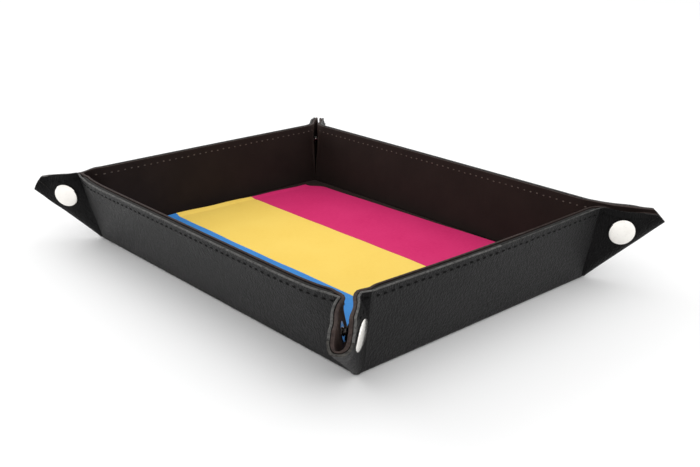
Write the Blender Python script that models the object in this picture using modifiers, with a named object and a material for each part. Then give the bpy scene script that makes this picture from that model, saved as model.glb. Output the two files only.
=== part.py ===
"""Folding dice tray: a leatherette mat whose walls fold up and snap together at the corners.

The floor lies on z = 0 with its centre at the origin, long side along X, front towards -Y.
Every panel is a plate in the plane of its own hinge empty: local X runs along the wall,
local Y runs up it from the fold line, and local Z points to the leather side.
The model stands as it is used, with the walls up and the corners snapped.
"""
from math import atan2, cos, radians, sin, sqrt, tau

import bmesh
import bpy
from mathutils import Matrix, Vector

MM = 0.001

# The tray
LENGTH = 200 * MM            # outside length of the floor, along X
WIDTH = 148 * MM             # outside width of the floor, along Y
WALL_HEIGHT = 37 * MM        # from the table to the rim of an upright wall
LEAN = {"front": 15.0, "right": 9.0, "back": 6.0, "left": 5.0}    # degrees out from upright

# The layers of a panel, from the leather side in, with a film of glue between them
LEATHER = 1.0 * MM
BOARD = 1.2 * MM
LINING = 0.9 * MM
GLUE = 0.3 * MM
PANEL = LEATHER + BOARD + LINING + 2 * GLUE
FLAP_LINING = 1.4 * MM       # a flap has no board: its lining has a thin backing instead
FLOOR_CLOTH = 0.8 * MM

# The folds. Every fold line lies in the middle of a panel's thickness.
FOLD = PANEL / 2
FOLD_GAP = 2.1 * MM          # a panel stops this far short of the fold at the floor
END_SETBACK = 1.2 * MM       # a wall's end fold lies this far before the floor's corner
END_GAP = 1.1 * MM           # wall and flap both stop this far short of the end fold
CREASE_GAP = 4.0 * MM        # a flap stops this far short of the corner's crease
FLAP_LOW = 5.0 * MM          # and starts this far above the fold at the floor
TIP_CUT = 9.5 * MM          # leg of the triangle cut off the mat's square corner

# The floor's coloured cloths, side by side from front to back
CLOTH_SEAMS = (-32.0 * MM, 18.8 * MM)
SEAM = 0.3 * MM

# The snap fasteners, with their places in a folded corner
SNAP_OUT = 15.8 * MM         # from the floor's corner, outwards along the fold's heading
SNAP_UP = 23.0 * MM          # above the fold at the floor
SNAP_SPAN = 5.8 * MM         # between the middle planes of the two flaps it holds
CAP_RADIUS = 6.25 * MM
CAP_DOME = 1.6 * MM
HOLE_RADIUS = 2.0 * MM
SEAT = 0.1 * MM              # clearance of the metal pieces from leather and lining
ROUND_STEPS = 32

# Each corner joins the end of one wall to the start of the next, counter-clockwise from above.
# The folded corner points along its heading, in degrees from +X; the snap's cap is on one wall.
CORNERS = {
    "front_right": {"walls": ("front", "right"), "heading": -55.0, "cap_on": "right"},
    "back_right": {"walls": ("right", "back"), "heading": 45.0, "cap_on": "right"},
    "back_left": {"walls": ("back", "left"), "heading": 135.0, "cap_on": "back"},
    "front_left": {"walls": ("left", "front"), "heading": 225.0, "cap_on": "front"},
}
FACING = {"front": Vector((0, -1, 0)), "right": Vector((1, 0, 0)),
          "back": Vector((0, 1, 0)), "left": Vector((-1, 0, 0))}
UP = Vector((0, 0, 1))

for old in list(bpy.data.objects):
    bpy.data.objects.remove(old, do_unlink=True)

tray = bpy.data.collections.new("folding_dice_tray")
bpy.context.scene.collection.children.link(tray)


def material(name, color, roughness, metallic=0.0):
    mat = bpy.data.materials.new(name)
    mat.use_nodes = True
    shader = mat.node_tree.nodes["Principled BSDF"]
    shader.inputs["Base Color"].default_value = (*color, 1.0)
    shader.inputs["Roughness"].default_value = roughness
    shader.inputs["Metallic"].default_value = metallic
    mat.diffuse_color = (*color, 1.0)
    return mat


LEATHER_MAT = material("black_leatherette", (0.018, 0.018, 0.019), 0.45)
LINING_MAT = material("brown_lining", (0.030, 0.020, 0.018), 0.85)
BOARD_MAT = material("grey_board", (0.20, 0.18, 0.15), 0.90)
NICKEL_MAT = material("nickel", (0.80, 0.78, 0.75), 0.20, 1.0)
CLOTH_MATS = {"blue": material("blue_cloth", (0.025, 0.20, 0.58), 0.85),
              "yellow": material("yellow_cloth", (0.93, 0.62, 0.13), 0.85),
              "magenta": material("magenta_cloth", (0.63, 0.025, 0.15), 0.85)}


def add(name, data, mat, parent=None):
    """Put a mesh or curve in the tray's collection, in its parent's own axes."""
    obj = bpy.data.objects.new(name, data)
    data.materials.append(mat)
    tray.objects.link(obj)
    obj.parent = parent
    return obj


def box(name, low, high, mat, parent=None):
    """A flat slab between two corners, with softened edges."""
    mesh = bpy.data.meshes.new(name)
    low, high = Vector(low), Vector(high)
    bm = bmesh.new()
    bmesh.ops.create_cube(bm, size=1.0)
    bmesh.ops.scale(bm, vec=high - low, verts=bm.verts)
    bmesh.ops.translate(bm, vec=(low + high) / 2, verts=bm.verts)
    bm.to_mesh(mesh)
    bm.free()
    obj = add(name, mesh, mat, parent)
    soften = obj.modifiers.new("soften", "BEVEL")
    soften.width = 0.2 * MM
    soften.segments = 2
    return obj


def spline(curve, points):
    line = curve.splines.new("POLY")
    line.points.add(len(points) - 1)
    for point, (x, y) in zip(line.points, points):
        point.co = (x, y, 0, 1)
    line.use_cyclic_u = True


def plate(name, outline, hole, low, high, mat, parent):
    """A flat plate with one round hole, from local z = low to z = high."""
    curve = bpy.data.curves.new(name, "CURVE")
    curve.dimensions = "2D"
    curve.fill_mode = "BOTH"
    curve.extrude = (high - low) / 2
    spline(curve, outline)
    turn = [tau * i / 24 for i in range(24)]
    spline(curve, [(hole[0] + HOLE_RADIUS * cos(a), hole[1] + HOLE_RADIUS * sin(a)) for a in turn])
    obj = add(name, curve, mat, parent)
    obj.location.z = (low + high) / 2
    return obj


def turned(name, profile, mat, parent, place, closed=False):
    """A round piece: a profile in millimetres turned about local Z at a place on its parent."""
    mesh = bpy.data.meshes.new(name)
    points = [(r * MM, 0, z * MM) for r, z in profile]
    edges = [(i, i + 1) for i in range(len(points) - 1)]
    if closed:
        edges.append((len(points) - 1, 0))
    mesh.from_pydata(points, edges, [])
    obj = add(name, mesh, mat, parent)
    obj.location = (place[0], place[1], 0)
    screw = obj.modifiers.new("turn", "SCREW")
    screw.axis = "Z"
    screw.steps = screw.render_steps = ROUND_STEPS
    screw.use_merge_vertices = True
    screw.merge_threshold = 0.00005
    return obj


def hinge(name, x, y, z, origin, parent=None):
    """An empty on a fold line, with the given world axes."""
    empty = bpy.data.objects.new(name, None)
    tray.objects.link(empty)
    frame = Matrix((x, y, z)).transposed().to_4x4()
    frame.translation = origin
    empty.parent = parent
    empty.matrix_world = frame
    return empty, frame


# The floor ------------------------------------------------------------------------------------
half_x = LENGTH / 2 - FOLD - FOLD_GAP
half_y = WIDTH / 2 - FOLD - FOLD_GAP
board_low = LEATHER + GLUE
lining_low = board_low + BOARD + GLUE
box("floor_leather", (-half_x, -half_y, 0), (half_x, half_y, LEATHER), LEATHER_MAT)
box("floor_board", (-half_x, -half_y, board_low), (half_x, half_y, board_low + BOARD), BOARD_MAT)
box("floor_lining", (-half_x, -half_y, lining_low), (half_x, half_y, PANEL), LINING_MAT)

edges = (-half_y, *CLOTH_SEAMS, half_y)
for name, start, end in zip(("blue", "yellow", "magenta"), edges[:-1], edges[1:]):
    low = Vector((-half_x, start + SEAM / 2, PANEL + GLUE))
    high = Vector((half_x, end - SEAM / 2, PANEL + GLUE + FLOOR_CLOTH))
    box(f"{name}_floor_cloth", low, high, CLOTH_MATS[name])


# The walls ------------------------------------------------------------------------------------
def wall_axes(wall):
    """Along the wall, up it, and out through its leather, as it leans in use."""
    facing, lean = FACING[wall], radians(LEAN[wall])
    along = UP.cross(facing)
    return along, facing * sin(lean) + UP * cos(lean), facing * cos(lean) - UP * sin(lean)


def wall_half(wall):
    """From the wall's middle to the corner of the folds at its end."""
    return (WIDTH if wall in ("right", "left") else LENGTH) / 2 - FOLD


TOP = WALL_HEIGHT - FOLD     # the rim, measured up the wall from its fold line
wall_hinges = {}
for wall, facing in FACING.items():
    along, up, out = wall_axes(wall)
    reach = (LENGTH if wall in ("right", "left") else WIDTH) / 2 - FOLD
    empty, _ = hinge(f"{wall}_wall_hinge", along, up, out, facing * reach + UP * FOLD)
    wall_hinges[wall] = empty
    end = wall_half(wall) - END_SETBACK - END_GAP
    inner = -FOLD
    for layer, thick, mat in (("lining", LINING, LINING_MAT), ("board", BOARD, BOARD_MAT),
                              ("leather", LEATHER, LEATHER_MAT)):
        box(f"{wall}_wall_{layer}", (-end, FOLD_GAP, inner), (end, TOP, inner + thick), mat, empty)
        inner += thick + GLUE


# The corners ----------------------------------------------------------------------------------
def crease_rise(heading, ups):
    """Slope of the crease that makes the two flaps' angles add up to the mat's right angle."""
    p = [up.dot(heading) for up in ups]
    q = [up.dot(UP) for up in ups]
    a = q[0] ** 2 + q[1] ** 2 - 1
    b = p[0] * q[0] + p[1] * q[1]
    c = p[0] ** 2 + p[1] ** 2 - 1
    return (-b + sqrt(b * b - a * c)) / a


def flap_outline(side, angle):
    """One half of a square corner of the mat, between the wall's end fold and the crease."""
    reach = (2 * TOP - TIP_CUT - CREASE_GAP * (sin(angle) - cos(angle))) / (sin(angle) + cos(angle))
    low = (FLAP_LOW - CREASE_GAP * sin(angle)) / cos(angle)

    def on_crease(length):
        x = length * sin(angle) - CREASE_GAP * cos(angle)
        return max(END_SETBACK + x, END_GAP + 0.2 * MM), length * cos(angle) + CREASE_GAP * sin(angle)

    points = [(END_GAP, FLAP_LOW), on_crease(low)]
    turn = (END_GAP + 0.2 * MM - END_SETBACK + CREASE_GAP * cos(angle)) / sin(angle)
    if turn > low:
        points.append(on_crease(turn))
    points += [on_crease(reach), (END_SETBACK + TOP - TIP_CUT, TOP), (END_GAP, TOP)]
    return [(side * x, y) for x, y in points]


LINING_FACE = FOLD - LEATHER - GLUE - FLAP_LINING
seat_out = (FOLD + SEAT) / MM
seat_in = (LINING_FACE - SEAT) / MM
cap_top = seat_out + CAP_DOME / MM
cap_r = CAP_RADIUS / MM

CAP = [(0, cap_top)]
CAP += [(cap_r * sin(a), seat_out + 0.5 + (CAP_DOME / MM - 0.5) * cos(a))
        for a in [tau / 4 * i / 6 for i in range(1, 7)]]
CAP += [(cap_r, seat_out + 0.25), (cap_r - 0.25, seat_out), (1.7, seat_out),
        (1.7, seat_in - 0.5), (0, seat_in - 0.5)]
SOCKET = [(1.9, seat_in), (4.6, seat_in), (4.6, seat_in - 0.65), (3.3, seat_in - 2.0),
          (2.9, seat_in - 2.0), (2.6, seat_in - 1.65), (2.6, seat_in - 0.45), (1.9, seat_in - 0.45)]
STUD = [(0, seat_in - 1.45), (1.05, seat_in - 1.45), (1.05, seat_in), (3.8, seat_in),
        (3.8, seat_in - 0.35), (1.9, seat_in - 0.35), (1.45, seat_in - 0.8), (1.45, seat_in - 1.6),
        (1.75, seat_in - 2.0), (1.5, seat_in - 2.35), (0, seat_in - 2.45)]
POST = [(0, seat_out + 0.4), (4.5, seat_out + 0.4), (4.8, seat_out + 0.15), (4.6, seat_out),
        (0.9, seat_out), (0.9, seat_in - 1.3), (0, seat_in - 1.3)]

for corner, made in CORNERS.items():
    heading = Vector((cos(radians(made["heading"])), sin(radians(made["heading"])), 0))
    signs = sum((FACING[wall] for wall in made["walls"]), Vector())
    vertex = Vector((signs.x * (LENGTH / 2 - FOLD), signs.y * (WIDTH / 2 - FOLD), FOLD))
    snap = vertex + heading * SNAP_OUT + UP * SNAP_UP
    across = heading.cross(UP)           # from the snap towards the first wall's flap
    axes = [wall_axes(wall) for wall in made["walls"]]
    rise = crease_rise(heading, [up for _, up, _ in axes])
    crease = (heading + UP * rise).normalized()

    for wall, (along, up, out), side in zip(made["walls"], axes, (1, -1)):
        next_wall = made["walls"][1 if side == 1 else 0]
        name = f"{wall}_wall_{next_wall}_flap"
        fold_end = vertex - side * along * END_SETBACK
        # The flap turns about the wall's end fold until it reaches its side of the snap.
        held = snap + side * across * SNAP_SPAN / 2 - fold_end
        turn = atan2(held.dot(out), side * held.dot(along))
        x_axis = along * cos(turn) + side * out * sin(turn)
        z_axis = out * cos(turn) - side * along * sin(turn)
        empty, _ = hinge(f"{name}_hinge", x_axis, up, z_axis, fold_end, wall_hinges[wall])

        place = (held.dot(x_axis), held.dot(up))
        outline = flap_outline(side, up.angle(crease))
        plate(f"{name}_leather", outline, place, FOLD - LEATHER, FOLD, LEATHER_MAT, empty)
        plate(f"{name}_lining", outline, place, LINING_FACE, LINING_FACE + FLAP_LINING,
              LINING_MAT, empty)
        if wall == made["cap_on"]:
            turned(f"{corner}_snap_cap", CAP, NICKEL_MAT, empty, place)
            turned(f"{corner}_snap_socket", SOCKET, NICKEL_MAT, empty, place, closed=True)
        else:
            turned(f"{corner}_snap_stud", STUD, NICKEL_MAT, empty, place)
            turned(f"{corner}_snap_post", POST, NICKEL_MAT, empty, place)
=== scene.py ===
"""Folding dice tray, as it looks: leatherette outside, brown lining, coloured floor cloths.

Every panel is described in its own flat coordinates, in metres: x runs along the wall towards
the corner, past the wall's end fold at x = 0 on to the flap, and y runs up from the floor's fold.
The same coordinates are the pieces' UVs, so grain and stitches run on across the folds.
"""
from math import atan2, cos, pi, radians, sin, sqrt, tau

import bmesh
import bpy
import numpy as np
from mathutils import Matrix, Vector


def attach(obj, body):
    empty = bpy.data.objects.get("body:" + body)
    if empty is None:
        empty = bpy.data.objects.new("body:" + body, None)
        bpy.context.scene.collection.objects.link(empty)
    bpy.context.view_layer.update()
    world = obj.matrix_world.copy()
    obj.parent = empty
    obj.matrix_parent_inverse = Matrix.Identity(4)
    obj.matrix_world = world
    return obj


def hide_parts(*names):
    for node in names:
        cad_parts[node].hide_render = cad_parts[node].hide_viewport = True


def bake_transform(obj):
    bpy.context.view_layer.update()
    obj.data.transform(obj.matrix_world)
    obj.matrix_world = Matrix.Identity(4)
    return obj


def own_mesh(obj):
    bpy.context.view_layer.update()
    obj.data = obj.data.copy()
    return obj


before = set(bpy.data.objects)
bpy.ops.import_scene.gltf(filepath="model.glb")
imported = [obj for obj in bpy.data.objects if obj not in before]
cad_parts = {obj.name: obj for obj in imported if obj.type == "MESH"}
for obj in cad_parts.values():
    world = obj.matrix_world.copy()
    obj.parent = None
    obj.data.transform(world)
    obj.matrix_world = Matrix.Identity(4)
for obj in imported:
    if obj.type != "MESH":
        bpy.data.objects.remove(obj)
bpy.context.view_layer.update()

MM = 0.001

# The sizes of part.py
LENGTH, WIDTH = 200 * MM, 148 * MM
WALL_HEIGHT = 37 * MM
LEAN = {"front": 15.0, "right": 9.0, "back": 6.0, "left": 5.0}
PANEL = 3.7 * MM
FOLD = PANEL / 2
FOLD_GAP = 2.1 * MM
END_SETBACK, END_GAP = 1.2 * MM, 1.1 * MM
CREASE = 4.0 * MM
TIP_CUT = 9.5 * MM
TOP = WALL_HEIGHT - FOLD
CLOTH_LOW, CLOTH = 4.0 * MM, 0.8 * MM
SNAP_OUT, SNAP_UP, SNAP_SPAN = 15.8 * MM, 23.0 * MM, 5.8 * MM
CORNERS = {
    "front_right": ("front", "right", -55.0),
    "back_right": ("right", "back", 45.0),
    "back_left": ("back", "left", 135.0),
    "front_left": ("left", "front", 225.0),
}
FACING = {"front": Vector((0, -1, 0)), "right": Vector((1, 0, 0)),
          "back": Vector((0, 1, 0)), "left": Vector((-1, 0, 0))}
UP = Vector((0, 0, 1))

# What the real one has beyond the CAD
STITCH_DROP, STITCH_PITCH = 2.7 * MM, 3.9 * MM      # below the rim, and along it
TROUGH = 0.9 * MM                           # half-width of the line that the stitches draw in
# How far each wall's rim bows out, and how flat-topped the bow is
BOW = {"front": (2.4 * MM, 12), "right": (1.2 * MM, 2), "back": (0.4 * MM, 2),
       "left": (0.4 * MM, 2)}
BEND_LOW, BEND_SLOPE = 0.5 * MM, 0.08      # half-width of the soft bend at a wall's end
# Half the gap in mm between a corner's two flaps, at its neck, above its snap and at its tip,
# for its first flap and its second
HELD = {"front_right": ((1.9, 2.3, 2.0), (0.4, 2.5, 4.0)), "back_right": ((2.8, 2.5, 1.8),) * 2,
        "back_left": ((2.0, 1.6, 1.2),) * 2, "front_left": ((2.2, 0.7, 0.5),) * 2}
MOST_PINCH = 5 * MM
# How far a flap's rim is off its straight line, and how much more than TIP_CUT its tip is cut
SAG = {"left_wall_front_flap": -3.4 * MM, "front_wall_left_flap": 0.4 * MM,
       "right_wall_back_flap": -1.0 * MM, "back_wall_right_flap": -1.0 * MM}
TRIM = {"back_right": -3.0 * MM, "front_left": 1.5 * MM, "front_right": 4.0 * MM}
# Each layer's two faces in mm off the panel's middle, on the wall and on the flap
LAYERS = {"leather": ((1.85, 0.85), (1.85, 0.85)), "lining": ((-0.95, -1.85), (0.55, -0.85)),
          "board": ((0.55, -0.65), (0.55, -0.65))}
SEAMS = (-32.0 * MM, 17.6 * MM)             # y of the joins between the three cloths


# Materials ------------------------------------------------------------------------------------
class Look:
    """A node material, with short calls for the nodes that these surfaces need."""

    def __init__(self, name, color, roughness, metallic=0.0, specular=0.5, sheen=0.0,
                 sheen_rough=0.5, sheen_tint=(1, 1, 1)):
        self.mat = bpy.data.materials.new(name)
        self.mat.use_nodes = True
        self.nodes, self.links = self.mat.node_tree.nodes, self.mat.node_tree.links
        self.shader = self.nodes["Principled BSDF"]
        self.set("Base Color", (*color, 1.0))
        self.set("Roughness", roughness)
        self.set("Metallic", metallic)
        self.set("Specular IOR Level", specular)
        self.set("Sheen Weight", sheen)
        self.set("Sheen Roughness", sheen_rough)
        self.set("Sheen Tint", (*sheen_tint, 1.0))

    def set(self, socket, value):
        self.shader.inputs[socket].default_value = value

    def node(self, kind, **settings):
        made = self.nodes.new(kind)
        for key, value in settings.items():
            setattr(made, key, value)
        return made

    def flat(self, scale=(1, 1, 1), turn=0.0):
        """The piece's flat coordinates, stretched and turned."""
        uv = self.node("ShaderNodeUVMap", uv_map="flat")
        mapping = self.node("ShaderNodeMapping")
        mapping.inputs["Scale"].default_value = scale
        mapping.inputs["Rotation"].default_value = (0, 0, turn)
        self.links.new(uv.outputs["UV"], mapping.inputs["Vector"])
        return mapping.outputs["Vector"]

    def solid(self):
        return self.node("ShaderNodeTexCoord").outputs["Object"]

    def noise(self, vector, scale, detail=3.0, rough=0.55):
        made = self.node("ShaderNodeTexNoise")
        made.inputs["Scale"].default_value = scale
        made.inputs["Detail"].default_value = detail
        made.inputs["Roughness"].default_value = rough
        self.links.new(vector, made.inputs["Vector"])
        return made.outputs["Fac"]

    def cells(self, vector, scale, feature="F1", smooth=0.35):
        made = self.node("ShaderNodeTexVoronoi", feature=feature)
        made.inputs["Scale"].default_value = scale
        if "Smoothness" in made.inputs:
            made.inputs["Smoothness"].default_value = smooth
        self.links.new(vector, made.inputs["Vector"])
        return made.outputs["Distance"]

    def math(self, operation, a, b=None):
        made = self.node("ShaderNodeMath", operation=operation)
        for socket, value in zip(made.inputs, (a, b)):
            if value is None:
                continue
            if isinstance(value, (int, float)):
                socket.default_value = value
            else:
                self.links.new(value, socket)
        return made.outputs[0]

    def remap(self, value, low, high, new_low, new_high):
        made = self.node("ShaderNodeMapRange")
        for socket, number in zip(list(made.inputs)[1:5], (low, high, new_low, new_high)):
            socket.default_value = number
        self.links.new(value, made.inputs["Value"])
        return made.outputs["Result"]

    def mix(self, factor, a, b):
        made = self.node("ShaderNodeMix", data_type="RGBA")
        inputs = [made.inputs[0], made.inputs[6], made.inputs[7]]
        for socket, value in zip(inputs, (factor, a, b)):
            if isinstance(value, tuple):
                socket.default_value = (*value, 1.0)
            elif isinstance(value, (int, float)):
                socket.default_value = value
            else:
                self.links.new(value, socket)
        return made.outputs[2]

    def color_from(self, output):
        self.links.new(output, self.shader.inputs["Base Color"])

    def rough_from(self, output):
        self.links.new(output, self.shader.inputs["Roughness"])

    def bump(self, *heights):
        """Layers of relief: (height, strength, depth in metres)."""
        last = None
        for height, strength, depth in heights:
            made = self.node("ShaderNodeBump")
            made.inputs["Strength"].default_value = strength
            made.inputs["Distance"].default_value = depth
            self.links.new(height, made.inputs["Height"])
            if last is not None:
                self.links.new(last, made.inputs["Normal"])
            last = made.outputs["Normal"]
        self.links.new(last, self.shader.inputs["Normal"])


def leatherette(name, tint=(0.0022, 0.0020, 0.0022), specular=0.22):
    """Black pebbled leatherette: rounded grains of half a millimetre with creases between them,
    and a shallow trough where the rim's stitches draw it in, painted darker as shade."""
    look = Look(name, tint, 0.38, specular=specular)
    flat = look.flat()
    pebbles = look.cells(look.flat((1.0, 0.62, 1.0), 0.05), 1500, "SMOOTH_F1", 0.5)
    fine = look.cells(flat, 3300, "SMOOTH_F1", 0.4)
    streaks = look.noise(look.flat((1.0, 0.28, 1.0)), 900, 4.0, 0.65)
    broad = look.noise(flat, 45, 3.0)
    split = look.node("ShaderNodeSeparateXYZ")
    look.links.new(flat, split.inputs[0])
    off = look.math("SUBTRACT", split.outputs[1], TOP - STITCH_DROP)
    trough = look.remap(look.math("ABSOLUTE", off), 0.0, TROUGH, 1.0, 0.0)
    height = look.math("ADD", look.math("MULTIPLY", pebbles, -0.9),
                       look.math("MULTIPLY", fine, -0.3))
    height = look.math("ADD", height, look.math("MULTIPLY", streaks, 1.1))
    look.bump((look.math("MULTIPLY", trough, -1.0), 0.7, 0.0004), (broad, 0.3, 0.0007),
              (height, 0.9, 0.00042))
    look.rough_from(look.remap(look.math("ADD", streaks, pebbles), 0.35, 1.15, 0.28, 0.46))
    worn = tuple(c * 1.5 + 0.001 for c in tint)
    shade = look.mix(look.remap(broad, 0.42, 0.66, 0.0, 1.0), tint, worn)
    # Along the stitch line the colour is mixed towards near black: painted shade in the trough.
    look.color_from(look.mix(look.math("MULTIPLY", trough, 0.6), shade, (0.001, 0.001, 0.001)))
    return look.mat


def suede(name, tint, light):
    """Smooth brown lining with a short nap that catches the light unevenly."""
    look = Look(name, tint, 0.85, specular=0.16, sheen=0.10, sheen_rough=0.45,
                sheen_tint=(0.75, 0.52, 0.45))
    flat = look.flat()
    cloud = look.noise(flat, 55, 4.0, 0.6)
    nap = look.noise(flat, 2600, 2.0, 0.7)
    brushed = look.noise(look.flat((1.0, 0.35, 1.0), 0.2), 420, 3.0)
    look.color_from(look.mix(look.remap(cloud, 0.35, 0.68, 0.0, 1.0), tint, light))
    look.rough_from(look.remap(nap, 0.3, 0.7, 0.74, 0.92))
    look.bump((brushed, 0.25, 0.00025), (nap, 0.35, 0.00008))
    return look.mat


def felt(name, tint, light, dark):
    """Thin dyed cloth with a fine nap and stray fibres."""
    look = Look(name, tint, 0.9, specular=0.18, sheen=0.15, sheen_rough=0.5, sheen_tint=light)
    flat = look.flat()
    cloud = look.noise(flat, 38, 4.0, 0.55)
    fibres = look.noise(look.flat((1.0, 0.22, 1.0), 0.5), 1500, 3.0, 0.65)
    across = look.noise(look.flat((0.22, 1.0, 1.0), -0.3), 1500, 3.0, 0.65)
    tangle = look.math("ADD", fibres, across)
    shade = look.mix(look.remap(tangle, 0.75, 1.25, 0.0, 1.0), dark, tint)
    look.color_from(look.mix(look.remap(cloud, 0.35, 0.7, 0.0, 0.55), shade, light))
    look.rough_from(look.remap(tangle, 0.7, 1.3, 0.95, 0.82))
    look.bump((cloud, 0.3, 0.0009), (tangle, 0.5, 0.00010))
    return look.mat


def cut_edge(name, tint, light):
    """The raw cut edge of a sheet: fibrous, with light and dark streaks along it."""
    look = Look(name, tint, 0.8, specular=0.3)
    streaks = look.noise(look.solid(), 900, 4.0, 0.7)
    look.color_from(look.mix(look.remap(streaks, 0.35, 0.68, 0.0, 1.0), tint, light))
    look.bump((streaks, 0.5, 0.00012))
    return look.mat


def thread(name, tint, light):
    look = Look(name, tint, 0.8, specular=0.12)
    ply = look.noise(look.flat((1, 1, 1), 0.6), 2400, 2.0)
    look.color_from(look.mix(look.remap(ply, 0.35, 0.65, 0.0, 1.0), tint, light))
    look.bump((ply, 0.6, 0.0001))
    return look.mat


def nickel(name, high, low):
    look = Look(name, high, 0.16, metallic=1.0)
    place = look.solid()
    haze = look.noise(place, 350, 3.0)
    fine = look.noise(place, 4200, 3.0, 0.7)
    look.rough_from(look.remap(haze, 0.3, 0.7, 0.12, 0.22))
    look.color_from(look.mix(look.remap(haze, 0.35, 0.7, 0, 1), high, low))
    look.bump((fine, 0.05, 0.00002))
    return look.mat


LEATHER = leatherette("black_leatherette")
# A darker, less glossy copy of the leatherette for the flaps and crease strips: painted shade.
FLAP_SHADE_LEATHER = leatherette("leatherette_flap_painted_shade", (0.0016, 0.0014, 0.0015), 0.09)
# The leather's rim edge, streaked up to light grey: painted highlight along the rounded rim.
RIM_HIGHLIGHT_EDGE = cut_edge("leatherette_rim_painted_highlight", (0.030, 0.029, 0.028), (0.130, 0.128, 0.123))
LINING = suede("brown_suede_lining", (0.0110, 0.0062, 0.0052), (0.0150, 0.0088, 0.0074))
# The board is drawn near black, far darker than greyboard, for the shaded gap between leather and
# lining: painted shade.
BOARD = cut_edge("greyboard_painted_shade", (0.004, 0.0035, 0.003), (0.018, 0.016, 0.014))
LEATHER_EDGE = cut_edge("leatherette_cut_edge", (0.012, 0.011, 0.010), (0.085, 0.080, 0.072))
LINING_EDGE = cut_edge("lining_cut_edge", (0.022, 0.014, 0.012), (0.055, 0.037, 0.032))
NICKEL = nickel("bright_nickel", (0.96, 0.935, 0.89), (0.91, 0.885, 0.84))
# A darker copy of the nickel for the snaps' inner parts, which sit in the flaps' shade: painted
# shade.
SHADED_NICKEL = nickel("nickel_painted_shade", (0.34, 0.32, 0.30), (0.22, 0.21, 0.20))      # the inner parts
BLACK_THREAD = thread("black_thread", (0.0012, 0.0012, 0.0012), (0.004, 0.004, 0.004))
BROWN_THREAD = thread("brown_thread", (0.060, 0.047, 0.041), (0.13, 0.105, 0.092))
CLOTHS = {
    "blue": felt("blue_felt", (0.046, 0.235, 0.60), (0.062, 0.28, 0.68), (0.034, 0.19, 0.52)),
    "yellow": felt("yellow_felt", (0.915, 0.640, 0.128), (0.935, 0.675, 0.150),
                   (0.885, 0.605, 0.110)),
    "magenta": felt("magenta_felt", (0.640, 0.022, 0.145), (0.675, 0.030, 0.162),
                    (0.595, 0.017, 0.125)),
}
# The yellow's cut edge is drawn paler than its cloth, as a lit edge: painted highlight; the
# magenta's is drawn darker: painted shade.
CLOTH_EDGES = {
    "blue": cut_edge("blue_felt_edge", (0.02, 0.15, 0.45), (0.08, 0.32, 0.70)),
    "yellow": cut_edge("yellow_felt_edge_painted_highlight", (0.95, 0.74, 0.36), (1.0, 0.88, 0.60)),
    "magenta": cut_edge("magenta_felt_edge_painted_shade", (0.36, 0.010, 0.08), (0.55, 0.03, 0.14)),
}


# Meshes ---------------------------------------------------------------------------------------
def add(name, mesh, *mats):
    obj = bpy.data.objects.new(name, mesh)
    for mat in mats:
        mesh.materials.append(mat)
    bpy.context.scene.collection.objects.link(obj)
    return obj


def finish_mesh(mesh, sharp=42.0):
    bm = bmesh.new()
    bm.from_mesh(mesh)
    bmesh.ops.recalc_face_normals(bm, faces=bm.faces)
    bm.to_mesh(mesh)
    bm.free()
    mesh.polygons.foreach_set("use_smooth", [True] * len(mesh.polygons))
    mesh.set_sharp_from_angle(angle=radians(sharp))


def slab(name, outer, inner, flat, mats, rounded=(0.0, 0.0, 0.0, 0.0), steps=4):
    """A closed sheet between two matching grids of points, with UVs from its flat coordinates.

    rounded is how far the edge bulges out on each side: first row, last column, last row,
    first column.
    """
    n, m = outer.shape[:2]
    points = [outer.reshape(-1, 3), inner.reshape(-1, 3)]
    uvs = [flat.reshape(-1, 2), flat.reshape(-1, 2)]

    def at(i, j):
        return i * m + j

    border = ([(0, j) for j in range(m - 1)] + [(i, m - 1) for i in range(n - 1)]
              + [(n - 1, j) for j in range(m - 1, 0, -1)] + [(i, 0) for i in range(n - 1, 0, -1)])
    away = []
    for i, j in border:
        pushes = []
        for s, (a, b) in enumerate((((0, j), (1, j)), ((i, m - 1), (i, m - 2)),
                                    ((n - 1, j), (n - 2, j)), ((i, 0), (i, 1)))):
            if (i == 0, j == m - 1, i == n - 1, j == 0)[s]:
                d = outer[a] - outer[b] + inner[a] - inner[b]
                pushes.append(d / (np.linalg.norm(d) + 1e-12) * rounded[s])
        away.append(sum(pushes))
    faces, mat_of = [], []
    for i in range(n - 1):
        for j in range(m - 1):
            quad = (at(i, j), at(i, j + 1), at(i + 1, j + 1), at(i + 1, j))
            faces += [quad, tuple(n * m + k for k in reversed(quad))]
            mat_of += [0, 0]
    rings = [[at(i, j) for i, j in border]]
    base = 2 * n * m
    for k in range(1, steps):
        a = pi * k / steps
        ring = []
        for (i, j), push in zip(border, away):
            middle, half = (outer[i, j] + inner[i, j]) / 2, (outer[i, j] - inner[i, j]) / 2
            ring.append(base)
            base += 1
            points.append((middle + half * cos(a) + push * sin(a))[None])
            uvs.append(flat[i, j][None])
        rings.append(ring)
    rings.append([n * m + at(i, j) for i, j in border])
    for upper, lower in zip(rings, rings[1:]):
        for k in range(len(border)):
            l = (k + 1) % len(border)
            faces.append((upper[k], lower[k], lower[l], upper[l]))
            mat_of.append(1)
    mesh = bpy.data.meshes.new(name)
    mesh.from_pydata(np.concatenate(points).tolist(), [], faces)
    uv = np.concatenate(uvs)
    layer = mesh.uv_layers.new(name="flat")
    loops = np.zeros(len(mesh.loops), int)
    mesh.loops.foreach_get("vertex_index", loops)
    layer.data.foreach_set("uv", uv[loops].ravel())
    mesh.polygons.foreach_set("material_index", mat_of)
    finish_mesh(mesh)
    return add(name, mesh, *mats)


def A(v):
    return np.array(v, float)


# The panels, in their flat coordinates --------------------------------------------------------
def wall_axes(wall):
    facing, lean = FACING[wall], radians(LEAN[wall])
    return (UP.cross(facing), facing * sin(lean) + UP * cos(lean),
            facing * cos(lean) - UP * sin(lean))


def wall_half(wall):
    return (WIDTH if wall in ("right", "left") else LENGTH) / 2 - FOLD


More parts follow.
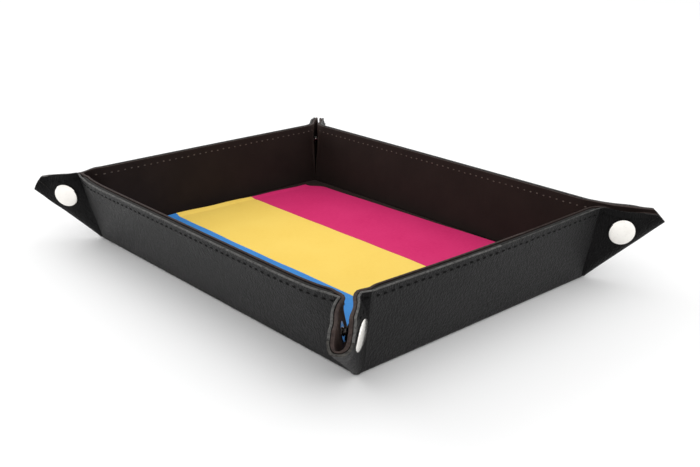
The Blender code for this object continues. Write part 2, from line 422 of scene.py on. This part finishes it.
def fold_origin(wall):
    reach = (LENGTH if wall in ("right", "left") else WIDTH) / 2 - FOLD
    return FACING[wall] * reach + UP * FOLD


def ease(t):
    t = np.clip(t, 0, 1)
    return t * t * (3 - 2 * t)


class Flap:
    """One wall's end and the half corner beyond it."""

    def __init__(self, corner, wall, other, side, heading_deg):
        self.wall, self.side, self.corner = wall, side, corner
        self.cut = TIP_CUT + TRIM.get(corner, 0)
        self.body = f"{wall}_wall_{other}_flap"
        heading = Vector((cos(radians(heading_deg)), sin(radians(heading_deg)), 0))
        signs = FACING[wall] + FACING[other]
        self.vertex = Vector((signs.x * (LENGTH / 2 - FOLD), signs.y * (WIDTH / 2 - FOLD), FOLD))
        snap = self.vertex + heading * SNAP_OUT + UP * SNAP_UP
        self.across = heading.cross(UP)
        along, self.up, self.out = wall_axes(wall)
        ups = [wall_axes(w)[1] for w in (wall, other)]
        p, q = [u.dot(heading) for u in ups], [u.dot(UP) for u in ups]
        a, b, c = q[0] ** 2 + q[1] ** 2 - 1, p[0] * q[0] + p[1] * q[1], p[0] ** 2 + p[1] ** 2 - 1
        rise = (-b + sqrt(b * b - a * c)) / a
        self.angle = self.up.angle((heading + UP * rise).normalized())
        self.to_end = side * along                      # along the wall to its end fold
        self.start = self.vertex - self.to_end * END_SETBACK
        held = snap + side * self.across * SNAP_SPAN / 2 - self.start
        turn = atan2(held.dot(self.out), held.dot(self.to_end))
        self.off = self.to_end * cos(turn) + self.out * sin(turn)       # along the flap, outwards
        self.face = self.out * cos(turn) - self.to_end * sin(turn)      # out of its leather
        self.reach = wall_half(wall) - END_SETBACK      # from the wall's middle to the end fold
        self.snap = (held.dot(self.off), held.dot(self.up))

    # in-plane places -------------------------------------------------
    def crease_point(self, l, q):
        s, c = sin(self.angle), cos(self.angle)
        return END_SETBACK + l * s + q * c, l * c - q * s

    def crease_start(self, l):
        """Where the folded strip begins: CREASE before the crease, less near the corner."""
        s, c = sin(self.angle), cos(self.angle)
        return -np.minimum(CREASE, (END_SETBACK - 0.25 * MM + l * s) / c)

    def crease_end(self, q):
        s, c = sin(self.angle), cos(self.angle)
        return (2 * TOP - self.cut - q * (c - s)) / (s + c)

    def edge(self, y):
        """How far the flat part of the flap goes out at height y."""
        s, c = sin(self.angle), cos(self.angle)
        l = (y - CREASE * s) / c
        crease = END_SETBACK + l * s - CREASE * c
        return np.maximum(np.minimum(crease, END_SETBACK + TOP - self.cut + TOP - y), 0.25 * MM)

    def corner_height(self):
        l = self.crease_end(-CREASE)
        return self.crease_point(l, -CREASE)[1]

    # the sheet's middle and its faces ---------------------------------
    def middle(self, x, y):
        x, y = np.broadcast_arrays(np.asarray(x, float), np.asarray(y, float))
        h = BEND_LOW + BEND_SLOPE * y
        t = np.clip((x + h) / (2 * h), 0, 1)
        near = np.where(x < -h, x, np.where(x > h, 0, -h * (1 - t) ** 2))
        far = np.where(x > h, x, np.where(x < -h, 0, h * t ** 2))
        u = np.clip((self.reach + x) / self.reach, 0, 1)
        y = y + SAG.get(self.body, 0) * ease(x / (14 * MM)) * (y / TOP).clip(0, 1) ** 2
        out, power = BOW[self.wall]
        rising = np.clip((y - FOLD_GAP) / (TOP - FOLD_GAP), 0, 1) ** 0.85
        bow = out * (1 - u ** power) ** 1.3 * rising
        return (A(self.start) + near[..., None] * A(self.to_end) + far[..., None] * A(self.off)
                + y[..., None] * A(self.up) + bow[..., None] * A(self.out)
                - self.pinch(x, y)[..., None] * A(self.face))

    def pinch(self, x, y):
        """How far the soft flap is drawn in towards its other half, everywhere but at its snap."""
        p = A(self.start) + x[..., None] * A(self.off) + y[..., None] * A(self.up)
        apart = ((p - A(self.vertex)) @ A(self.across)) / self.face.dot(self.across)
        snap_x, snap_y = self.snap
        clear = (ease((np.hypot(x - snap_x, y - snap_y) - 6.5 * MM) / (7 * MM))
                 * ease((x + 1.5 * MM) / (6 * MM)))
        high = 1 - ((1 - ease((y - 8 * MM) / (24 * MM)))
                    * (1 - ease((x - snap_x - 4.5 * MM) / (6 * MM))))
        neck_rim_tip = [v * MM for v in HELD[self.corner][self.side < 0]]
        want = np.interp(x, (9 * MM, snap_x + 2 * MM, snap_x + 11 * MM), neck_rim_tip)
        return clear * high * MOST_PINCH * np.tanh((apart - want) / MOST_PINCH)

    def normal(self, x, y):
        e = 2e-5
        dx = self.middle(x + e, y) - self.middle(x - e, y)
        dy = self.middle(x, y + e) - self.middle(x, y - e)
        n = np.cross(dx, dy)
        n /= np.linalg.norm(n, axis=-1, keepdims=True)
        return n * np.sign(n @ A(self.out))[..., None]

    def depth(self, l):
        """From the flap's middle plane to the middle of the pinched corner, along the crease."""
        x, y = self.crease_point(l, 0.0)
        p = A(self.start) + np.multiply.outer(x, A(self.off)) + np.multiply.outer(y, A(self.up))
        apart = ((p - A(self.vertex)) @ A(self.across)) / self.face.dot(self.across)
        return np.maximum(apart - self.pinch(x, y), 0.8 * MM)


FLAPS = []
for corner, (first, second, heading) in CORNERS.items():
    FLAPS.append(Flap(corner, first, second, 1, heading))
    FLAPS.append(Flap(corner, second, first, -1, heading))


def blend_at_end(obj):
    """Bakes the transform of a piece that runs from its wall round the end fold onto its flap."""
    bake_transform(obj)


def layer_face(layer, side, x):
    """How far a layer's face is off the middle: the flap's layers lie closer than the wall's."""
    on_wall, on_flap = LAYERS[layer][0][side], LAYERS[layer][1][side]
    t = np.clip((x + 5 * MM) / (8 * MM), 0, 1)
    return (on_wall + (on_flap - on_wall) * t * t * (3 - 2 * t)) * MM


# Walls and flaps ------------------------------------------------------------------------------
def half_sheet(flap, layer):
    """From the wall's middle, round its end fold, to the crease of the corner."""
    knee = flap.corner_height()
    ys = np.concatenate([np.linspace(FOLD_GAP, 6 * MM, 5), np.linspace(7.2 * MM, knee, 16),
                         np.linspace(knee, TOP, 8)[1:]])
    on_wall = -flap.reach * np.linspace(1, 0, 30) ** 1.7
    share = np.linspace(0, 1, 20)[1:]
    x = np.array([np.concatenate([on_wall, flap.edge(y) * share]) for y in ys])
    y = np.repeat(ys[:, None], x.shape[1], 1)
    middle, normal = flap.middle(x, y), flap.normal(x, y)
    faces = [middle + layer_face(layer, side, x)[..., None] * normal for side in (0, 1)]
    flat = np.stack([flap.side * (flap.reach + x), y], -1)
    # The leather's edges take the lighter rim edge: painted highlight.
    obj = slab(f"{flap.body}_and_wall_{layer}", faces[0], faces[1], flat,
               (LEATHER, RIM_HIGHLIGHT_EDGE) if layer == "leather" else (LINING, LINING_EDGE),
               rounded=(0, 0, 0.4 * MM if layer == "leather" else 0.3 * MM, 0), steps=6)
    if layer == "leather":
        # Faces out on the flap take the darker leatherette: painted shade.
        obj.data.materials.append(FLAP_SHADE_LEATHER)
        uv = obj.data.uv_layers["flat"].data
        for poly in obj.data.polygons:
            reached = sum(abs(uv[i].uv.x) for i in poly.loop_indices) / poly.loop_total
            if poly.material_index == 0 and reached > flap.reach + 0.4 * MM:
                poly.material_index = 2
    return obj


def board(wall, flap):
    """The wall's stiff board, bowed with the wall. It shows as the core line along the rim."""
    end = wall_half(wall) - END_SETBACK - END_GAP
    other = [f for f in FLAPS if f.wall == wall and f.side != flap.side][0]
    ys = np.linspace(FOLD_GAP, TOP - 0.3 * MM, 5)
    faces = [[], []]
    flats = []
    for f, d in ((other, np.linspace(end, 0, 13)[:-1]), (flap, np.linspace(0, end, 13))):
        x, y = np.meshgrid(d - f.reach, ys)
        for side in (0, 1):
            faces[side].append(f.middle(x, y) + LAYERS["board"][0][side] * MM * A(f.out))
        flats.append(np.stack([f.side * d[None].repeat(len(ys), 0), y], -1))
    return slab(f"{wall}_wall_core", np.concatenate(faces[0], 1), np.concatenate(faces[1], 1),
                np.concatenate(flats, 1), (BOARD, BOARD), rounded=(0, 0, 0.1 * MM, 0))


for flap in FLAPS:
    for layer in ("leather", "lining"):
        obj = half_sheet(flap, layer)
        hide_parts(f"{flap.wall}_wall_{layer}", f"{flap.body}_{layer}")
        blend_at_end(obj)

for wall in FACING:
    flap = [f for f in FLAPS if f.wall == wall and f.side == 1][0]
    obj = board(wall, flap)
    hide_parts(f"{wall}_wall_board")
    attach(obj, f"{wall}_wall")


# The folded strips along each corner's crease -------------------------------------------------
STRIP = {"leather": ((1.85, 1.85), (0.85, 0.85)), "lining": ((0.55, 0.55), (-0.85, -0.04))}


def strip_face(flap, face, s, turn):
    """One face of a crease strip: a quarter of an oval from the flap's plane to the ridge."""
    offset, ridge = face[0] * MM, face[1] * MM
    start = flap.crease_start(s * flap.crease_end(-CREASE))
    x0 = -start + ridge
    q = start + x0 * np.sin(turn)
    l = s * flap.crease_end(np.minimum(q, 0))
    depth = flap.depth(l)
    h = -depth + np.maximum(depth + offset, 0.08 * MM) * np.cos(turn)
    x, y = flap.crease_point(l, q)
    flat = np.stack([flap.side * (flap.reach + x), y], -1)
    return flap.middle(x, y) + h[..., None] * A(flap.face), flat


s_values = np.linspace(0, 1, 36) ** 1.2
turns = pi / 2 * np.linspace(0, 1, 15)
S, T = np.meshgrid(s_values, turns, indexing="ij")
for corner in CORNERS:
    pair = [f for f in FLAPS if f.corner == corner]
    for layer, faces in STRIP.items():
        made = [[strip_face(f, face, S, T) for face in faces] for f in pair]
        for k in (0, 1):
            meet = (made[0][k][0][:, -1] + made[1][k][0][:, -1]) / 2
            for side in (0, 1):
                points = made[side][k][0]
                points += (meet - points[:, -1])[:, None, :] * (np.sin(T) ** 2)[..., None]
        for number, (flap, (a, b)) in enumerate(zip(pair, made)):
            # The leather strip takes the darker flap leatherette: painted shade.
            obj = slab(f"{flap.body}_crease_{layer}", a[0], b[0], a[1],
                       (FLAP_SHADE_LEATHER, LEATHER_EDGE) if layer == "leather" else (LINING, LINING_EDGE),
                       rounded=(0, 0, 0.15 * MM, 0))
            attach(obj, flap.body)
            # An axis across the strip's edge on the flap is worked out, unused, and the strip gets
            # its own mesh.
            edge = b[0][:, 0] if layer == "lining" else a[0][:, 0]
            run = Vector(edge[-1] - edge[8])
            across = flap.off * cos(flap.angle) - flap.up * sin(flap.angle)
            axis = run.cross(across).normalized()
            axis *= 1 if axis.dot(flap.face) > 0 else -1
            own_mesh(obj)


# The folds between floor and walls ------------------------------------------------------------
def fold_piece(wall, layer):
    along, up, out = wall_axes(wall)
    facing, origin, half = FACING[wall], fold_origin(wall), wall_half(wall)
    flat_end, lean = -FOLD_GAP, radians(LEAN[wall])

    def at(s, z):
        return facing * s + UP * z

    if layer == "leather":
        def profile(r):
            arc = [at(r * sin(a), -r * cos(a)) for a in np.linspace(0, pi / 2 - lean, 9)]
            return ([at(flat_end, -r), at(flat_end / 2, -r)] + arc
                    + [out * r + up * y for y in (FOLD_GAP / 2, FOLD_GAP)])
        lines = [profile(1.85 * MM), profile(0.85 * MM)]
    else:
        def profile(r, dip):
            a, b = at(flat_end, r), -out * r + up * FOLD_GAP
            m = (a.normalized() + b.normalized()).normalized() * dip
            return [a * (1 - t) ** 2 + m * 2 * t * (1 - t) + b * t * t
                    for t in np.linspace(0, 1, 9)]
        lines = [profile(0.95 * MM, 0.5 * MM), profile(1.85 * MM, 1.2 * MM)]
    reach = half - 1.6 * MM                  # clear of the crease strips when they lie flat
    xs = np.linspace(-reach, reach, 41)
    grids = [np.array([[A(origin + along * x + p) for x in xs] for p in line]) for line in lines]
    lengths = np.cumsum([0] + [(b - a).length for a, b in zip(lines[0], lines[0][1:])])
    heights = FOLD_GAP + lengths - lengths[-1]
    flat = np.stack(np.broadcast_arrays(xs[None, :], heights[:, None]), -1)
    obj = slab(f"{wall}_fold_{layer}", grids[0], grids[1], flat,
               (LEATHER, LEATHER) if layer == "leather" else (LINING, LINING))
    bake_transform(obj)


for wall in FACING:
    for layer in ("leather", "lining"):
        fold_piece(wall, layer)

for corner in CORNERS:
    flap = [f for f in FLAPS if f.corner == corner][0]
    mesh = bpy.data.meshes.new(f"{corner}_foot")
    bm = bmesh.new()
    bmesh.ops.create_uvsphere(bm, u_segments=24, v_segments=12, radius=1.8 * MM)
    for v in bm.verts:
        v.co.z = v.co.z * (0.75 if v.co.z > 0 else 1.0)
    bm.loops.layers.uv.new("flat")
    bm.to_mesh(mesh)
    bm.free()
    mesh.transform(Matrix.Translation(flap.vertex))
    mesh.polygons.foreach_set("use_smooth", [True] * len(mesh.polygons))
    for loop, uv in zip(mesh.loops, mesh.uv_layers["flat"].data):
        co = mesh.vertices[loop.vertex_index].co
        uv.uv = (co.x + co.y, co.z)
    obj = add(f"{corner}_foot", mesh, LEATHER)
    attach(obj, "floor")


# Stitching ------------------------------------------------------------------------------------
def stitches(flap, face, drop, pitch, length, width, mat, name):
    """Short raised dashes along the rim, in a line drop below it."""
    mesh = bpy.data.meshes.new(name)
    bm = bmesh.new()
    layer = bm.loops.layers.uv.new("flat")
    y = TOP - drop
    far = END_SETBACK + TOP - flap.cut - 1.5 * MM
    count = int((flap.reach + far) / pitch)
    for k in range(count):
        x = -flap.reach + (k + 0.5) * pitch
        wobble = 0.10 * MM * sin(k * 2.4 + flap.side) + 0.06 * MM * sin(k * 1.1)
        along = np.linspace(-length / 2, length / 2, 7)
        turned = 0.04 * sin(k * 1.7)
        rows = []
        for d in along:
            arch = sqrt(max(0.0, 1 - (2 * d / length) ** 2))
            px, py = x + d, y + wobble + d * turned
            middle, normal = flap.middle(px, py), flap.normal(px, py)
            side_out = 1 if face == "leather" else -1
            skin = layer_face(face, 0 if face == "leather" else 1, np.asarray(px))
            up_dir = flap.middle(px, py + 1e-5) - flap.middle(px, py - 1e-5)
            up_dir /= np.linalg.norm(up_dir)
            centre = middle + normal * (skin + side_out * (0.18 * arch - 0.12) * MM)
            ring = []
            for a in np.linspace(0, tau, 7)[:-1]:
                r = width / 2 * (0.25 + 0.75 * arch)
                point = centre + up_dir * r * cos(a) + normal * side_out * 0.6 * r * sin(a)
                ring.append(bm.verts.new(point))
            rows.append((ring, (flap.side * (flap.reach + px), py)))
        for (r0, u0), (r1, u1) in zip(rows, rows[1:]):
            for i in range(6):
                f = bm.faces.new((r0[i], r0[(i + 1) % 6], r1[(i + 1) % 6], r1[i]))
                for loop, u in zip(f.loops, (u0, u0, u1, u1)):
                    loop[layer].uv = u
        for ring, u in (rows[0], rows[-1]):
            f = bm.faces.new(ring)
            for loop in f.loops:
                loop[layer].uv = u
    bm.to_mesh(mesh)
    bm.free()
    finish_mesh(mesh, 70)
    obj = add(name, mesh, mat)
    blend_at_end(obj)


for flap in FLAPS:
    stitches(flap, "leather", STITCH_DROP, STITCH_PITCH, 2.2 * MM, 0.85 * MM, BLACK_THREAD,
             f"{flap.body}_outer_stitches")
    stitches(flap, "lining", STITCH_DROP + 0.5 * MM, STITCH_PITCH, 1.3 * MM, 0.65 * MM,
             BROWN_THREAD, f"{flap.body}_inner_stitches")


# The floor cloths -----------------------------------------------------------------------------
def cloth(name, low_edge, high_edge):
    """A cut cloth laid on the floor. Its left end rides up on the fold at the left wall, less
    towards the back."""
    end = LENGTH / 2 - FOLD - FOLD_GAP
    level = CLOTH_LOW + CLOTH / 2
    ramp = [(-end + (5.2 + 3.6 * t) * MM, level + 1.5 * MM * (1 - ease(t * 1.02)))
            for t in np.linspace(0, 1, 12)]
    path = np.array(ramp + [(x, level) for x in np.linspace(-end + 9.7 * MM, end - 0.6 * MM, 70)])
    travel = np.concatenate([[0], np.cumsum(np.linalg.norm(np.diff(path, axis=0), axis=1))])
    slope = np.gradient(path[:, 1], path[:, 0])
    normal = np.stack([-slope, np.ones(len(slope))], 1)
    normal /= np.linalg.norm(normal, axis=1, keepdims=True)
    low, high = low_edge(travel), high_edge(travel)
    ys = low[:, None] + (high - low)[:, None] * np.linspace(0, 1, 27)[None]
    t = travel[:, None]
    ripple = (0.09 * MM * np.sin(t * 61 + ys * 90) * np.sin(ys * 143 + t * 37)
              + 0.04 * MM * np.sin(t * 190 + ys * 160)
              + 0.25 * MM * (1 - ease(t / 0.012)) * np.sin(ys * 210 + 1))
    towards_back = ((ys - SEAMS[0]) / (0.1)).clip(0, 1)
    faces = []
    for lift in (CLOTH / 2, -CLOTH / 2):
        off = lift + ripple * 0.6 + 0.03 * MM
        x = path[:, :1] + normal[:, :1] * off + 3.2 * MM * towards_back * (1 - ease(t / 0.035))
        z = path[:, 1:] - (path[:, 1:] - level) * 0.75 * towards_back + normal[:, 1:] * off
        faces.append(np.stack([x, ys, z], -1))
    obj = slab(f"{name}_cloth", faces[0], faces[1], np.stack([t + 0 * ys, ys], -1),
               (CLOTHS[name], CLOTH_EDGES[name]), rounded=(0.12 * MM,) * 4)
    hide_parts(f"{name}_floor_cloth")
    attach(obj, "floor")


def floor_lining():
    end_x, end_y = LENGTH / 2 - FOLD - FOLD_GAP, WIDTH / 2 - FOLD - FOLD_GAP
    x, y = np.meshgrid(np.linspace(-end_x, end_x, 30), np.linspace(-end_y, end_y, 24),
                       indexing="ij")
    dip = 0.05 * MM * np.sin(x * 80) * np.sin(y * 95)
    faces = [np.stack([x, y, z + dip * share], -1)
             for z, share in ((PANEL - 0.05 * MM, 1), (PANEL - 0.9 * MM, 0))]
    obj = slab("floor_lining_sheet", faces[0], faces[1], np.stack([x, y], -1),
               (LINING, LINING_EDGE))
    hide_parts("floor_lining")
    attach(obj, "floor")


floor_lining()
gap = 0.12 * MM
half_y = WIDTH / 2 - FOLD - FOLD_GAP


def first_seam(t):
    return (SEAMS[0] + 0.22 * MM * np.sin(t * 55 + 1) + 0.1 * MM * np.sin(t * 170 + 2)
            - 0.8 * MM * (1 - ease(t / 0.006)))


def second_seam(t):
    return (SEAMS[1] + 0.20 * MM * np.sin(t * 47 + 3) + 0.08 * MM * np.sin(t * 210)
            - 0.9 * MM * (1 - ease(t / 0.006)))


def back_edge(t):
    """Cut a little short of the back wall, most at the left, with the corner snipped off."""
    short = 0.8 * MM + 7.5 * MM * (1 - t / 0.19).clip(0) + 6 * MM * (1 - ease(t / 0.011))
    return (half_y - short + 0.35 * MM * np.sin(t * 130 + 1) * (1 - ease(t / 0.06))
            + 0.15 * MM * np.sin(t * 52))


cloth("blue", lambda t: -half_y + 0.5 * MM + 0.25 * MM * np.sin(t * 40),
      lambda t: first_seam(t) - gap)
cloth("yellow", lambda t: first_seam(t) + gap, lambda t: second_seam(t) - gap)
cloth("magenta", lambda t: second_seam(t) + gap, back_edge)


# The CAD nodes that stay ----------------------------------------------------------------------
for name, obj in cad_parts.items():
    if "snap" in name:
        # The inner snap parts take the darker nickel: painted shade.
        mat = NICKEL if "cap" in name else SHADED_NICKEL
    elif name == "floor_leather":
        mat = LEATHER
    elif name == "floor_board":
        mat = BOARD
    else:
        continue
    for slot in obj.material_slots:
        slot.material = mat


# The studio -----------------------------------------------------------------------------------
def stage():
    mesh = bpy.data.meshes.new("studio_floor")
    bm = bmesh.new()
    bmesh.ops.create_grid(bm, x_segments=2, y_segments=2, size=6.0)
    bm.to_mesh(mesh)
    bm.free()
    look = Look("pale_floor", (0.92, 0.92, 0.92), 0.7, specular=0.1)
    obj = add("studio_floor", mesh, look.mat)
    obj.location.z = -0.0001


def soft_light(name, at, size, power):
    data = bpy.data.lights.new(name, "AREA")
    data.shape = "RECTANGLE"
    data.size, data.size_y = size
    data.energy = power
    obj = bpy.data.objects.new(name, data)
    bpy.context.scene.collection.objects.link(obj)
    obj.location = at
    obj.rotation_euler = (-Vector(at)).to_track_quat("-Z", "Y").to_euler()


stage()
world = bpy.data.worlds.new("studio")
world.use_nodes = True
world.node_tree.nodes["Background"].inputs["Color"].default_value = (1, 1, 1, 1)
world.node_tree.nodes["Background"].inputs["Strength"].default_value = 1.04
bpy.context.scene.world = world
soft_light("back_softbox", (-0.10, 0.55, 0.95), (1.1, 0.8), 0.8)
soft_light("left_softbox", (-0.95, -0.20, 0.45), (0.8, 0.6), 3.2)
soft_light("right_softbox", (0.95, 0.15, 0.50), (0.8, 0.6), 1.2)
bpy.context.scene.view_settings.view_transform = "Standard"

camera = bpy.data.cameras.new("camera")
camera.sensor_width = 36.0
camera.lens = 48.34
camera.clip_start = 0.01
eye = bpy.data.objects.new("camera", camera)
bpy.context.scene.collection.objects.link(eye)
turn, tilt, roll = radians(47.866), radians(20.273), radians(0.36)
back = Vector((sin(turn) * cos(tilt), -cos(turn) * cos(tilt), sin(tilt)))
aim = back.to_track_quat("Z", "Y").to_matrix() @ Matrix.Rotation(roll, 3, "Z")
eye.matrix_world = Matrix.Translation((0.33087, -0.28647, 0.17362)) @ aim.to_4x4()
bpy.context.scene.camera = eye
